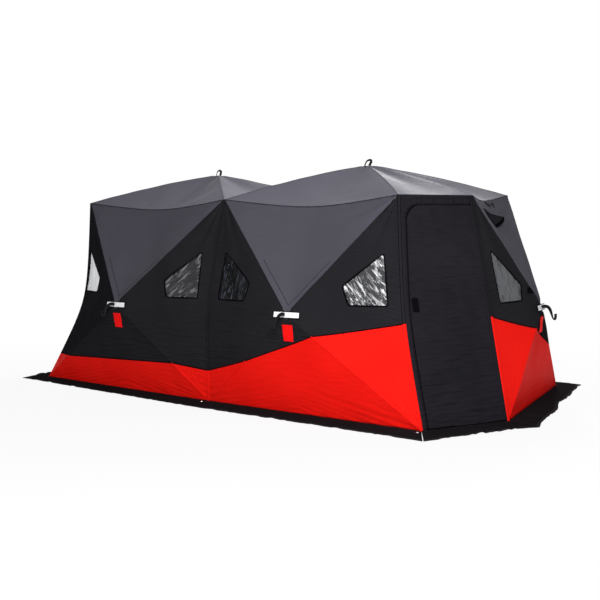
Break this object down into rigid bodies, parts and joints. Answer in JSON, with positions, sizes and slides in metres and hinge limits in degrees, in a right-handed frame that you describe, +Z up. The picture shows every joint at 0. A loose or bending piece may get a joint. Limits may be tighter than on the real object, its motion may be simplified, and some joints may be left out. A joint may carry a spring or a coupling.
{
  "type": "ice fishing hut",
  "caption": "Pop-up fabric ice fishing hut: two hub tents in one, walls and roofs pushed out by hubs on poles, clear windows, a corner door and a skirt on the ice.",
  "frame": {"origin": "on the ice under the middle of the hut", "axes": "+X along the front towards the door end, -Y towards the front, +Z up"},
  "size_m": [5.4084, 2.856, 2.1079],
  "materials": {
    "roof_canvas": "coated woven polyester",
    "grey_wall_canvas": "coated woven polyester",
    "black_wall_canvas": "coated woven polyester",
    "red_wall_canvas": "coated woven polyester",
    "skirt_cloth": "coated woven polyester",
    "clear_vinyl": "clear PVC sheet",
    "fibreglass_rod": "pultruded fibreglass",
    "hub_nylon": "moulded nylon",
    "bright_tape": "reflective tape",
    "red_tag_cloth": "coated woven polyester",
    "black_webbing": "woven polypropylene webbing",
    "vent_mesh": "coated woven polyester"
  },
  "bodies": {
    "shelter": {"back_left_red_band": "red_wall_canvas", "back_left_side_panels": "black_wall_canvas", "back_left_upper_panel": "grey_wall_canvas", "back_poles": "fibreglass_rod", "back_right_red_band": "red_wall_canvas", "back_right_side_panels": "black_wall_canvas", "back_right_upper_panel": "grey_wall_canvas", "back_skirt": "skirt_cloth", "centre_seam_tape": "black_webbing", "door_header": "black_wall_canvas", "door_hinge_jamb": "black_wall_canvas", "door_zip_jamb": "black_wall_canvas", "end_poles": "fibreglass_rod", "end_vents": "vent_mesh", "front_left_red_band": "red_wall_canvas", "front_left_side_panels": "black_wall_canvas", "front_left_upper_panel": "grey_wall_canvas", "front_poles": "fibreglass_rod", "front_right_red_band": "red_wall_canvas", "front_right_side_panels": "black_wall_canvas", "front_right_upper_panel": "grey_wall_canvas", "front_skirt": "skirt_cloth", "hub_patches": "bright_tape", "left_end_red_band": "red_wall_canvas", "left_end_side_panels": "black_wall_canvas", "left_end_upper_panel": "grey_wall_canvas", "left_roof": "roof_canvas", "left_skirt": "skirt_cloth", "lower_panels": "black_wall_canvas", "pull_straps": "black_webbing", "pull_tags": "red_tag_cloth", "rear_door_flap": "black_wall_canvas", "rear_door_surround": "black_wall_canvas", "right_end_red_band": "red_wall_canvas", "right_end_side_panels": "black_wall_canvas", "right_end_upper_panel": "grey_wall_canvas", "right_roof": "roof_canvas", "right_skirt": "skirt_cloth", "roof_hubs": "hub_nylon", "roof_poles": "fibreglass_rod", "roof_straps": "black_webbing", "wall_hubs": "hub_nylon", "window_panes": "clear_vinyl"},
    "door": {"door_flap": "black_wall_canvas"}
  },
  "joints": [
    {"name": "door_hinge", "type": "hinge", "parent": "shelter", "child": "door", "pos_m": [2.22066, -0.39274, 0.87049], "axis": [-0.235, 0.1347, 0.9626], "range_deg": [0, 120]}
  ]
}
